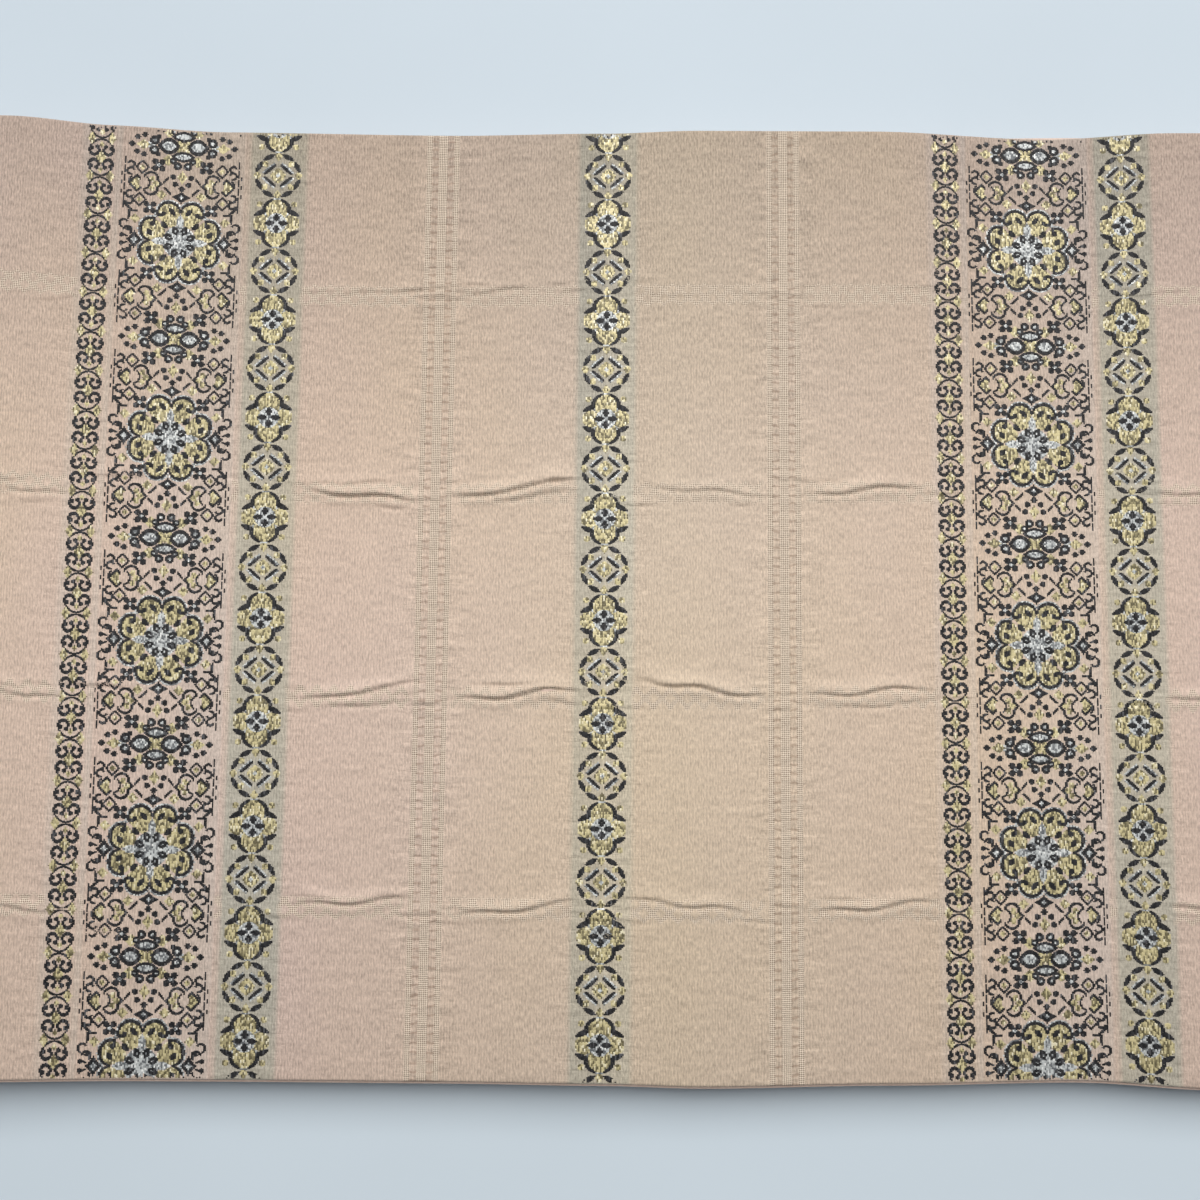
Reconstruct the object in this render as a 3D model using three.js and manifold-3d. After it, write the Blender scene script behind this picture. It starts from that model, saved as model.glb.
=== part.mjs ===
// An obi: the sash of a kimono, 310 mm wide and 4.35 m long, put away in eight thicknesses.
//
// The sash is a flat tube of two cloths, a brocaded front and a plain back, sewn together along both long
// edges and closed at both ends. It is halved three times with the front outwards, and the bends lie inside
// one another:
//
//   left end                               right end
//     ,------------ 1  top -------------.
//     | ,---------- 2 ----------------. |
//     | | ,-------- 3 ----------------' |
//     | | | ,------ 4 ------------------'
//     | | | '------ 5  one end of the sash
//     | | '-------- 6  the other end
//     | '---------- 7 ------------------.
//     '------------ 8  underside -------'
//
// The front and back cloths are walls where they show: thicknesses 1 and 8 and the bends round them. What
// they enclose is one solid, layered along its edges, whose ends stand apart in the right end.
//
// Millimetres, +Z up, X along the sash, Y across it. The origin is the centre of the underside.

import * as THREE from "three";
import Module from "manifold-3d";

const wasm = await Module();
wasm.setup();

// ---- Driving dimensions ----

const SASH_WIDTH = 310;
const STACK_LENGTH = 544; // an eighth of the sash
const STACK_HEIGHT = 14.4; // eight thicknesses, pressed flat
const LEFT_PUFF = 4; // the four bends at the left end spring apart by this much
const PUFF_REACH = 110; // and lie pressed again this far along
const CLOTH = 1; // wall of one cloth
const GAP = 0.3; // between pieces that lie on each other
const TUCK = 15; // how far a cloth is followed back in between the thicknesses
const LOWER_SETBACK = 7; // the lower right bend stops short of the upper one
const END_SETBACK = { upper: 4, lower: 11 }; // so do the sash's own two ends
const HIDDEN_LAYERS = 6;
const HIDDEN_SETBACK = 0.8; // long edges of the hidden layers, inside the width
const LINING_PEEK = 0.9; // the back cloth shows this far past the front's near edge
const BAND_PITCH = 66.7; // a woven band that puckers runs along the sash at each of these steps
const NEAR_BAND = -101.8;
const BAND_COUNT = 4;
const PUCKER_WIDTH = 4;
const FADE = 40; // the top's swells die out over this length before each end

// Facets: steps along the outermost thickness, and columns across the plain back.
const STEPS = { top: 34, underside: 3, leftBend: 12, upperBend: 8, lowerBend: 6 };
const BACK_COLUMNS = 8;

const thickness = 2 * (CLOTH + GAP); // the outermost thickness and the gap under it
const liningDepth = CLOTH + GAP;
const rightEnd = STACK_LENGTH / 2;
const edgeRound = STACK_HEIGHT / 16; // half of one thickness

// Bends of the outermost thickness: centre and outer radius in the XZ plane.
const leftRadius = (STACK_HEIGHT + LEFT_PUFF) / 2;
const leftBend = { x: leftRadius - rightEnd, z: leftRadius, r: leftRadius };
const upperRadius = STACK_HEIGHT / 4; // round thicknesses 1 to 4
const upperBend = { x: rightEnd - upperRadius, z: STACK_HEIGHT - upperRadius, r: upperRadius };
const lowerRadius = STACK_HEIGHT / 8; // round thicknesses 7 and 8
const lowerBend = { x: rightEnd - LOWER_SETBACK - lowerRadius, z: lowerRadius, r: lowerRadius };
const tuckedTo = lowerBend.x - TUCK;

// ---- Form of the top thickness ----

// The long edges wander: how far the far (+Y) and near (-Y) one lie outside the width, along the sash.
const EDGES = [
  { along: -263, far: 1.2, near: -0.6 },
  { along: -222, far: 3.4, near: -1.2 },
  { along: -187, far: 1.0, near: -1.2 },
  { along: -148, far: -0.6, near: -1.0 },
  { along: -72, far: -1.5, near: -0.7 },
  { along: -22, far: -0.6, near: -0.2 },
  { along: 9, far: 0.5, near: 0.6 },
  { along: 68, far: 0.4, near: -0.4 },
  { along: 126, far: -2.4, near: -1.5 },
  { along: 170, far: 0, near: 0.8 },
  { along: 218, far: 0.3, near: 0.1 },
  { along: 268, far: -0.4, near: -0.6 },
];

// Slow swells of the top thickness over the stack.
const SWELLS = [
  { x: -205, y: 60, reachAlong: 42, reachAcross: 120, height: 1.8 },
  { x: -20, y: -120, reachAlong: 60, reachAcross: 70, height: 0.8 },
  { x: 150, y: 90, reachAlong: 55, reachAcross: 80, height: 0.6 },
  { x: 205, y: -60, reachAlong: 40, reachAcross: 110, height: 0.9 },
];

// The bands draw up the plain cloth between two brocaded stripes: where, how far along, and how high.
const PUCKERS = [
  { x: -205, reach: 24, height: 0.8 },
  { x: -103, reach: 22, height: 1.0 },
  { x: -50, reach: 20, height: 1.2 },
  { x: 12, reach: 18, height: 0.7 },
  { x: 66, reach: 22, height: 0.9 },
  { x: 182, reach: 20, height: 0.8 },
];

const smooth = (t) => t * t * (3 - 2 * t);
const clamp01 = (t) => Math.min(1, Math.max(0, t));
const bell = (distance, reach) => Math.exp(-((distance / reach) ** 2));
const sum = (rows, term) => rows.reduce((total, row) => total + term(row), 0);
const bands = Array.from({ length: BAND_COUNT }, (_, i) => NEAR_BAND + i * BAND_PITCH);

// How far the edge on one side, "far" or "near", lies outside the width at x. Past the table's first or last
// row it stays as there.
function edgeOffset(x, side) {
  const i = EDGES.findIndex((row) => row.along >= x);
  if (i <= 0) return EDGES.at(i)[side];
  const [a, b] = [EDGES[i - 1], EDGES[i]];
  return THREE.MathUtils.lerp(a[side], b[side], smooth((x - a.along) / (b.along - a.along)));
}

// How far the stack stands above its pressed height near the left end.
const puff = (x) => LEFT_PUFF * smooth(clamp01(1 - (x - leftBend.x) / PUFF_REACH));

// Height of the top thickness above the pressed stack.
function rise(x, y, puckered) {
  const fade = smooth(clamp01(Math.min(x - leftBend.x, upperBend.x - x) / FADE));
  const swell = sum(SWELLS, (s) => s.height * bell(x - s.x, s.reachAlong) * bell(y - s.y, s.reachAcross));
  const pucker = sum(PUCKERS, (p) => p.height * bell(x - p.x, p.reach));
  const onBand = puckered ? Math.max(...bands.map((band) => bell(y - band, PUCKER_WIDTH))) : 0;
  return puff(x) + fade * (swell + pucker * onBand);
}

// ---- Paths and lofts ----

// Stations on a bend, from one angle to another in degrees anticlockwise from +X, each with the normal that
// points out.
function bendStations({ x, z, r }, from, to, steps) {
  return Array.from({ length: steps + 1 }, (_, i) => {
    const angle = THREE.MathUtils.degToRad(THREE.MathUtils.lerp(from, to, i / steps));
    const normal = { x: Math.cos(angle), z: Math.sin(angle) };
    return { x: x + r * normal.x, z: z + r * normal.z, normal };
  });
}

// Stations between two bends at one height, facing up (1) or down (-1), the bends' own ends left out.
function flatStations(from, to, z, up, steps) {
  return Array.from({ length: steps - 1 }, (_, i) => ({
    x: THREE.MathUtils.lerp(from, to, (i + 1) / steps),
    z,
    normal: { x: 0, z: up },
  }));
}

// The outer face of the outermost thickness: out of the upper right bend, over the top, round the left end
// and along the underside to the lower right bend.
function outerPath() {
  const top = flatStations(upperBend.x, leftBend.x, STACK_HEIGHT, 1, STEPS.top);
  return [
    { x: tuckedTo, z: upperBend.z - upperBend.r, normal: { x: 0, z: -1 } },
    ...bendStations(upperBend, -90, 90, STEPS.upperBend),
    ...top.map((station) => ({ ...station, top: true })),
    ...bendStations(leftBend, 90, 270, STEPS.leftBend),
    ...flatStations(leftBend.x, lowerBend.x, 0, -1, STEPS.underside),
    { x: lowerBend.x, z: 0, normal: { x: 0, z: -1 } },
  ];
}

// Round the lower right bend and back in between the thicknesses.
function lowerTurn() {
  const turn = bendStations(lowerBend, -90, 90, STEPS.lowerBend).slice(1);
  return [...turn, { x: tuckedTo, z: 2 * lowerBend.r, normal: { x: 0, z: 1 } }];
}

// A closed loft through rings of points, capped at both ends. A ring runs out along one face and back along
// the other, so each cap is a strip between the two faces.
function loft(rings) {
  const count = rings[0].length;
  const last = (rings.length - 1) * count;
  const triangles = [];
  const quad = (a, b, c, d) => triangles.push(a, b, c, a, c, d);
  for (let row = 0; row < last; row += count)
    for (let k = 0; k < count; k++) {
      const next = (k + 1) % count;
      quad(row + k, row + next, row + count + next, row + count + k);
    }
  for (let k = 0; k + 1 < count / 2; k++) {
    const partner = count - 1 - k;
    quad(k, partner, partner - 1, k + 1);
    quad(last + k, last + k + 1, last + partner - 1, last + partner);
  }
  const geometry = new THREE.BufferGeometry();
  geometry.setAttribute("position", new THREE.Float32BufferAttribute(rings.flat(2), 3));
  return geometry.setIndex(triangles);
}

// A wall of cloth along a path, its outer face at a depth under the path. Columns are its places across the
// width, from 0 at the near edge to 1 at the far one.
function clothWall({ path, depth, columns, puckered, shift }) {
  const face = (station, faceDepth) =>
    columns.map((column) => {
      const outside = (side) => (station.top ? edgeOffset(station.x, side) : 0);
      const near = -SASH_WIDTH / 2 - outside("near") - shift;
      const far = SASH_WIDTH / 2 + outside("far") - shift;
      const y = THREE.MathUtils.lerp(near, far, column);
      const out = (station.top ? rise(station.x, y, puckered) : 0) - faceDepth;
      return [station.x + station.normal.x * out, y, station.z + station.normal.z * out];
    });
  return loft(path.map((station) => [...face(station, depth), ...face(station, depth + CLOTH).reverse()]));
}

// Folded thicknesses lying on each other, each with round long edges. Every station gives the lowest and the
// highest point of the pile there.
function layeredPile(stations, layers) {
  const angles = [-60, -20, 20, 60].map(THREE.MathUtils.degToRad);
  const steepest = Math.sin(Math.max(...angles));
  const inside = SASH_WIDTH / 2 - HIDDEN_SETBACK - edgeRound;
  const ring = ({ x, low, high }) => {
    const radius = (high - low) / layers / 2;
    const layerEdge = (layer) =>
      angles.map((angle) => ({
        y: inside + edgeRound * Math.cos(angle),
        z: low + radius * (2 * layer + 1 + Math.sin(angle) / steepest),
      }));
    const side = Array.from({ length: layers }, (_, layer) => layerEdge(layer)).flat();
    return [...side.map(({ y, z }) => [x, y, z]), ...side.reverse().map(({ y, z }) => [x, -y, z])];
  };
  return loft(stations.map(ring));
}

// Stations of a pile's round end, its tip at x and pointing along +X (1) or -X (-1).
function roundEnd(x, low, high, toward) {
  const middle = (low + high) / 2;
  const radius = (high - low) / 2;
  return [80, 60, 40, 20, 0].map(THREE.MathUtils.degToRad).map((angle) => ({
    x: x - toward * radius * (1 - Math.sin(angle)),
    low: middle - radius * Math.cos(angle),
    high: middle + radius * Math.cos(angle),
  }));
}

// ---- Booleans ----

function toManifold(geometry) {
  const vertProperties = geometry.attributes.position.array;
  const triVerts = new Uint32Array(geometry.index.array);
  return new wasm.Manifold(new wasm.Mesh({ numProp: 3, vertProperties, triVerts }));
}

function toGeometry(manifold) {
  const { vertProperties, triVerts } = manifold.getMesh();
  const geometry = new THREE.BufferGeometry();
  geometry.setAttribute("position", new THREE.BufferAttribute(vertProperties, 3));
  return geometry.setIndex(new THREE.BufferAttribute(triVerts, 1));
}

// ---- Pieces ----

// Places across the width where the front has a column: three on each band, and evenly between the bands.
function frontColumns() {
  const onBands = bands.flatMap((band) => [band - PUCKER_WIDTH, band, band + PUCKER_WIDTH]);
  const third = BAND_PITCH / 3;
  const thirds = [NEAR_BAND - BAND_PITCH, ...bands].flatMap((band) => [band + third, band + 2 * third]);
  const inside = thirds.filter((y) => Math.abs(y) < SASH_WIDTH / 2 - PUCKER_WIDTH);
  const places = [...onBands, ...inside].sort((a, b) => a - b);
  return [0, ...places.map((y) => y / SASH_WIDTH + 0.5), 1];
}

function frontCloth() {
  const path = [...outerPath(), ...lowerTurn()];
  return clothWall({ path, depth: 0, columns: frontColumns(), puckered: true, shift: 0 });
}

function backCloth() {
  const columns = Array.from({ length: BACK_COLUMNS + 1 }, (_, i) => i / BACK_COLUMNS);
  return clothWall({ path: outerPath(), depth: liningDepth, columns, puckered: false, shift: LINING_PEEK });
}

// Thicknesses 2 to 7: one pile as far as the tucked cloths, then the bend of 2 and 3 and the sash's two ends.
function foldedLayers() {
  const low = thickness;
  const high = STACK_HEIGHT - thickness;
  const pileEnd = tuckedTo - GAP;
  const slope = [0.2, 0.4, 0.6, 0.8, 1].map((t) => leftBend.x + t * PUFF_REACH);
  const pile = layeredPile(
    [
      ...roundEnd(thickness - rightEnd, low, high + LEFT_PUFF, -1),
      ...slope.map((x) => ({ x, low, high: high + puff(x) })),
      { x: pileEnd, low, high },
    ],
    HIDDEN_LAYERS,
  );
  const tongue = (tip, tongueLow, tongueHigh, layers) => {
    const root = { x: pileEnd - CLOTH, low: tongueLow, high: tongueHigh };
    return layeredPile([root, ...roundEnd(tip, tongueLow, tongueHigh, 1).reverse()], layers);
  };
  const endsLow = 2 * lowerBend.r + GAP;
  const endsHigh = upperBend.z - upperBend.r - GAP;
  const middle = (endsLow + endsHigh) / 2;
  const tongues = [
    tongue(rightEnd - thickness, upperBend.z - upperBend.r + thickness, high, 2),
    tongue(rightEnd - END_SETBACK.upper, middle + GAP / 2, endsHigh, 1),
    tongue(rightEnd - END_SETBACK.lower, endsLow, middle - GAP / 2, 1),
  ];
  return toGeometry(tongues.map(toManifold).reduce((solid, part) => solid.add(part), toManifold(pile)));
}

// ---- The sash ----

function piece(name, geometry, color) {
  const silk = new THREE.MeshStandardMaterial({ color, roughness: 0.7, metalness: 0 });
  const mesh = new THREE.Mesh(geometry, silk);
  mesh.name = name;
  return mesh;
}

const obi = new THREE.Group();
obi.add(piece("front_cloth", frontCloth(), 0xb5a293));
obi.add(piece("back_cloth", backCloth(), 0xc2a794));
obi.add(piece("folded_layers", foldedLayers(), 0xb8a392));

export default obi;
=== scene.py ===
"""A brocade obi folded away in eight thicknesses, with its woven figures raised thread by thread."""

import math
from collections import namedtuple

import bmesh
import bpy
import numpy as np
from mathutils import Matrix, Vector


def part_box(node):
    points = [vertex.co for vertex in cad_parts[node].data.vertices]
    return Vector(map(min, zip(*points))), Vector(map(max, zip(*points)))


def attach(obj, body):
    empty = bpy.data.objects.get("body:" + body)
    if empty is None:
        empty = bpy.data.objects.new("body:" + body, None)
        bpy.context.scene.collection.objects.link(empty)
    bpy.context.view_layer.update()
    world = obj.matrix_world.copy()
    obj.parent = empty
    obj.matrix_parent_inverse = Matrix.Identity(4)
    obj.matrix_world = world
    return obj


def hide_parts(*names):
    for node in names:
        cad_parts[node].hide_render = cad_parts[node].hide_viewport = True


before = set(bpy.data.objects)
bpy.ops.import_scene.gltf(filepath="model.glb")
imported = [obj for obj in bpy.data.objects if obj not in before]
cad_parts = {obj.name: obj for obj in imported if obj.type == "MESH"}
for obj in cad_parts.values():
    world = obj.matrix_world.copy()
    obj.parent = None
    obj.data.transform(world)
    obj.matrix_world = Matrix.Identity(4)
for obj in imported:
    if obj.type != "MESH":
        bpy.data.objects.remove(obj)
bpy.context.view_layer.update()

# ---- The sash, in millimetres ----

MM = 0.001
WIDTH = 310.0
THICKNESSES = 8
PITCH = 1.8  # one thickness: front cloth and back cloth
HEIGHT = THICKNESSES * PITCH
LEFT_PUFF = 4.0  # the four bends at the left end spring apart by this much
PUFF_REACH = 110.0
LOWER_SETBACK = 7.0  # the lower right bend lies this much further in
END_SETBACK = {5: 4.0, 6: 11.0}  # the two ends of the sash, by thickness
TUCK = 15.0  # how far the front goes on past the two bends at the right
LINING_PEEK = 0.9  # the back cloth shows this much past the near edge
FACE_DEPTH = 0.18  # the ground lies this far under the outline, so that the raised threads reach it
CLOTH = 0.78  # thickness of one cloth
FADE = 40.0  # swells and creases die out over this much at both ends
CREASE_DEPTH = 1.3  # all creases are made this much deeper
CREASE_REACH = 9.0

right_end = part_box("front_cloth")[1].x / MM
left_bend = ((HEIGHT + LEFT_PUFF) / 2 - right_end, (HEIGHT + LEFT_PUFF) / 2)
upper_bend = (right_end - 2 * PITCH, HEIGHT - 2 * PITCH)
lower_bend = (right_end - LOWER_SETBACK - PITCH, PITCH)
tucked_to = lower_bend[0] - TUCK

CAMERA_AT = (-23.2, -42.05, 399.6)
CAMERA_TILT = 5.70
CAMERA_ROLL = 0.17
LENS = 35.9
FLOOR_HALF = 3.0  # metres
FILL = 0.16  # strength of the room's light
SKYLINE = 0.55  # extra strength low down all round
KEY = 102.0  # watts of the window
TOP = 0.24  # watts of the lamp overhead

# ---- The weave, in millimetres ----

REPEAT = 282.6  # of the stripes along the sash
MIDDLE = -22.0  # where the middle ring stripe crosses the sash's centre line
SKEW = 0.0075  # the stripes lean by this much
MEDALLION_PITCH = 66.6
MEDALLION_FROM = -84.3
RING_PITCH = MEDALLION_PITCH / 2
RING_FROM = -126.6
SCROLL_PITCH = MEDALLION_PITCH / 5
SCROLL_FROM = -156.3
BAND_PITCH = 66.7
NEAR_BAND = -101.8
BANDS = [NEAR_BAND + i * BAND_PITCH for i in range(4)]
GROUND, GILT, SILVER, CHARCOAL = 0, 1, 2, 3  # the ground, and the brocading threads
PICK = 0.46  # from one brocading thread to the next
ROWS = 288  # cells in one medallion's repeat across the sash
CELL = MEDALLION_PITCH / ROWS  # the least step of a thread's end
BIND = {GILT: 4, SILVER: 3, CHARCOAL: 7}  # a thread is bound down every so many cells
THREAD_HALF = PICK * 0.62
THREAD_SUNK = 0.015  # a thread's edges lie this far under the cloth
THREAD_LAP = 0.07  # a thread runs this far past its last cell

# Stripes of one repeat: place along the sash from the middle ring stripe, and width.
Stripe = namedtuple("Stripe", "kind along width")
STRIPES = [
    Stripe("ring", 0.0, 17.0),
    Stripe("ladder", 58.5, 12.4),
    Stripe("scroll", 113.0, 9.6),
    Stripe("medallion", 139.9, 40.0),
    Stripe("ring", 171.8, 17.0),
    Stripe("ladder", 227.1, 12.4),
]

# ---- Form of the top thickness ----

# How far the far and the near long edge lie outside the width, along the sash.
Edge = namedtuple("Edge", "along far near")
EDGES = [
    Edge(-263, 1.2, -0.6),
    Edge(-222, 3.4, -1.2),
    Edge(-187, 1.0, -1.2),
    Edge(-148, -0.6, -1.0),
    Edge(-72, -1.5, -0.7),
    Edge(-22, -0.6, -0.2),
    Edge(9, 0.5, 0.6),
    Edge(68, 0.4, -0.4),
    Edge(126, -2.4, -1.5),
    Edge(170, 0.0, 0.8),
    Edge(218, 0.3, 0.1),
    Edge(268, -0.4, -0.6),
]

Swell = namedtuple("Swell", "x y along across height")
SWELLS = [
    Swell(-205, 60, 42, 120, 1.8),
    Swell(-20, -120, 60, 70, 0.8),
    Swell(150, 90, 55, 80, 0.6),
    Swell(205, -60, 40, 110, 0.9),
]

# Creases along the bands, in the plain cloth between brocaded stripes: where each starts and ends, how far
# it lies off its band at either end, how it waves, and how deep it is.
Crease = namedtuple("Crease", "band start end off_start off_end wave turns depth")
CREASES = [
    Crease(3, -118, -84, -1.0, 1.5, 0.5, 1.6, 0.25),
    Crease(3, -92, -70, 1.0, 2.0, 0.4, 1.0, 0.45),
    Crease(3, -70, -46, -0.5, 2.5, 0.4, 1.2, 0.45),
    Crease(3, 20, 50, 1.0, -1.0, 0.5, 1.5, 0.15),
    Crease(3, 150, 172, -0.5, 1.5, 0.4, 1.2, 0.30),
    Crease(2, -217, -196, 0.5, -1.5, 0.6, 1.2, 0.45),
    Crease(2, -121, -80, 0.8, -3.4, 0.8, 1.4, 0.95),
    Crease(2, -116, -90, 2.6, 3.2, 0.5, 1.2, 0.35),
    Crease(2, -72, -30, -2.0, 4.6, 0.7, 1.2, 1.00),
    Crease(2, -60, -34, -3.2, 0.4, 0.5, 1.2, 0.40),
    Crease(2, -8, 34, 2.0, -1.0, 0.6, 1.7, 0.45),
    Crease(2, 44, 82, -0.6, 2.8, 0.7, 1.5, 0.80),
    Crease(2, 155, 186, 1.0, -1.5, 0.6, 1.4, 0.50),
    Crease(1, -217, -196, 2.0, -1.0, 0.6, 1.3, 0.50),
    Crease(1, -121, -80, -1.6, 5.0, 0.6, 1.3, 0.85),
    Crease(1, -112, -84, -3.6, -1.2, 0.5, 1.1, 0.40),
    Crease(1, -70, -28, -1.2, 3.2, 0.9, 1.6, 1.00),
    Crease(1, -64, -38, 3.4, 5.4, 0.4, 1.0, 0.40),
    Crease(1, -14, 32, 6.2, -0.2, 0.7, 2.2, 0.95),
    Crease(1, 42, 84, 0.5, 3.6, 0.8, 1.6, 0.85),
    Crease(1, 52, 80, -3.2, -1.4, 0.5, 1.2, 0.35),
    Crease(1, 155, 188, -0.6, 2.0, 0.6, 1.3, 0.55),
    Crease(0, -215, -192, 1.2, -1.4, 0.5, 1.2, 0.45),
    Crease(0, -121, -82, 1.0, 3.4, 0.8, 1.5, 0.80),
    Crease(0, -70, -30, -2.4, 2.6, 0.8, 1.4, 0.90),
    Crease(0, -12, 26, 3.0, -0.6, 0.7, 1.8, 0.60),
    Crease(0, 44, 84, -1.0, 3.0, 0.8, 1.6, 0.80),
    Crease(0, 155, 186, 1.4, -1.2, 0.6, 1.4, 0.50),
]


def add_puckers(seed):
    """Short creases crowd round the bands where they meet ladders and stripes."""
    draw = np.random.default_rng(seed)
    for meeting in (-212, -186, -120, -86, -70, -30, -12, 30, 44, 82, 157, 186, 232):
        for band in range(4):
            for _ in range(2):
                start = meeting + draw.uniform(-14, 4)
                off = draw.uniform(-4.5, 5.5)
                drift = draw.uniform(-1.5, 1.5)
                length = draw.uniform(9, 19)
                wave = draw.uniform(0.1, 0.5)
                turns = draw.uniform(0.5, 1.3)
                depth = draw.uniform(0.12, 0.36)
                CREASES.append(Crease(band, start, start + length, off, off + drift, wave, turns, depth))


add_puckers(seed=5)


def smooth(t):
    t = np.clip(t, 0, 1)
    return t * t * (3 - 2 * t)


def bell(distance, reach):
    return np.exp(-((distance / reach) ** 2))


def puff(x):
    return LEFT_PUFF * smooth(1 - (x - left_bend[0]) / PUFF_REACH)


def swelled(x, y):
    """Height of the soft swells above the pressed stack."""
    return sum(s.height * bell(x - s.x, s.along) * bell(y - s.y, s.across) for s in SWELLS)


def creased(x, y):
    """Height of the creases: ridges that fall steeply towards the near edge, and die out at both ends."""
    x, y = np.broadcast_arrays(x, y)
    total = np.zeros(x.shape)
    for c in CREASES:
        t = (x - c.start) / (c.end - c.start)
        line = BANDS[c.band] + c.off_start + (c.off_end - c.off_start) * t
        near = np.nonzero((t > 0) & (t < 1) & (np.abs(y - line) < CREASE_REACH))
        t = t[near]
        d = y[near] - line[near] - c.wave * np.sin(2 * np.pi * c.turns * t + c.band)
        ridge = np.where(d > 0.8, bell(d - 0.8, 2.3), bell(d - 0.8, 0.55))
        lip = 0.35 * bell(d + 1.9, 1.3) - 0.3 * bell(d + 0.4, 0.6)
        total[near] += CREASE_DEPTH * c.depth * np.sin(np.pi * t) ** 0.7 * (ridge + lip)
    return total


# ---- Paths in the XZ plane ----

# Stations along the cloth: place, direction out of its outer face, how much it is on top, and run along it.
Path = namedtuple("Path", "x z out_x out_z top run")


def bend(centre, radius, start, end, step, top):
    count = max(3, math.ceil(abs(math.radians(end - start)) * radius / step))
    angle = np.radians(np.linspace(start, end, count + 1))
    return [centre[0] + radius * np.cos(angle), centre[1] + radius * np.sin(angle),
            np.cos(angle), np.sin(angle), np.linspace(*top, count + 1)]


def level(start, end, z, out, step, top=0.0):
    """A level stretch without its two ends. On top it rises to meet the left bend."""
    count = max(2, math.ceil(abs(end - start) / step))
    x = np.linspace(start, end, count + 1)[1:-1]
    ones = np.ones_like(x)
    return [x, z + top * puff(x), 0 * ones, out * ones, top * ones]


def front_path(step, rough):
    """The way of the sash's outer face: out of the upper right bend, over the top, round the left bend, back
    below, and in at the lower right bend. On the top its run is the same as X."""
    stretches = [
        level(tucked_to - rough, upper_bend[0], HEIGHT - 4 * PITCH, -1, rough),
        bend(upper_bend, 2 * PITCH, -90, 90, 0.9, (0, 1)),
        level(upper_bend[0], left_bend[0], HEIGHT, 1, step, top=1.0),
        bend(left_bend, left_bend[1], 90, 270, 1.2, (1, 0)),
        level(left_bend[0], lower_bend[0], 0, -1, rough),
        bend(lower_bend, PITCH, -90, 90, 0.6, (0, 0)),
        level(lower_bend[0], tucked_to - rough, 2 * PITCH, 1, rough),
    ]
    x, z, out_x, out_z, top = (np.concatenate(column) for column in zip(*stretches))
    gone = np.concatenate([[0], np.cumsum(np.hypot(np.diff(x), np.diff(z)))])
    middle = int(np.argmin(np.abs(x - MIDDLE) + 99 * (1 - top)))
    return Path(x, z, out_x, out_z, top, gone[middle] + x[middle] - gone)


FRONT = front_path(step=2.0, rough=6.0)


def edge_offset(x, side):
    along = np.array([row.along for row in EDGES], float)
    offset = np.array([getattr(row, side) for row in EDGES])
    i = np.clip(np.searchsorted(along, x) - 1, 0, len(EDGES) - 2)
    return offset[i] + (offset[i + 1] - offset[i]) * smooth((x - along[i]) / (along[i + 1] - along[i]))


def on_cloth(run, w, lift, shift=0.0, creases=True):
    """Points off the front face, in millimetres, at a run along the sash and a place w across it."""
    x, z, out_x, out_z, top = (np.interp(-run, -FRONT.run, column) for column in FRONT[:5])
    near = -WIDTH / 2 - top * edge_offset(x, "near")
    far = WIDTH / 2 + top * edge_offset(x, "far")
    y = near + (far - near) * (w / WIDTH + 0.5) - shift
    fade = smooth(np.minimum(x - left_bend[0], upper_bend[0] - x) / FADE) * top
    out = lift - FACE_DEPTH + fade * (swelled(x, y) + (creased(x, y) if creases else 0))
    return np.stack([x + out_x * out, y, z + out_z * out], axis=-1)


# ---- Meshes ----


def make_piece(name, points, faces, materials):
    """A smooth-shaded piece from points in millimetres."""
    mesh = bpy.data.meshes.new(name)
    mesh.from_pydata(np.asarray(points).reshape(-1, 3) * MM, [], faces)
    mesh.update()
    mesh.shade_smooth()
    for material in materials:
        mesh.materials.append(material)
    piece = bpy.data.objects.new(name, mesh)
    bpy.context.scene.collection.objects.link(piece)
    return piece


def set_weave(piece, places, name="weave"):
    """Stores each point's place on the cloth in metres: along it from the middle ring stripe, and across."""
    layer = piece.data.uv_layers.new(name=name)
    corner = np.zeros(len(piece.data.loops), np.int32)
    piece.data.loops.foreach_get("vertex_index", corner)
    layer.data.foreach_set("uv", (np.asarray(places)[corner] * MM).astype(np.float32).ravel())


def loft(rings, ring_size, closed=True):
    """Faces between rings of points, one after another."""
    span = ring_size if closed else ring_size - 1
    ring, point = np.meshgrid(np.arange(rings - 1), np.arange(span), indexing="ij")
    a = ring * ring_size + point
    b = ring * ring_size + (point + 1) % ring_size
    return np.stack([a, a + ring_size, b + ring_size, b], axis=-1).reshape(-1, 4).tolist()


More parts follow.
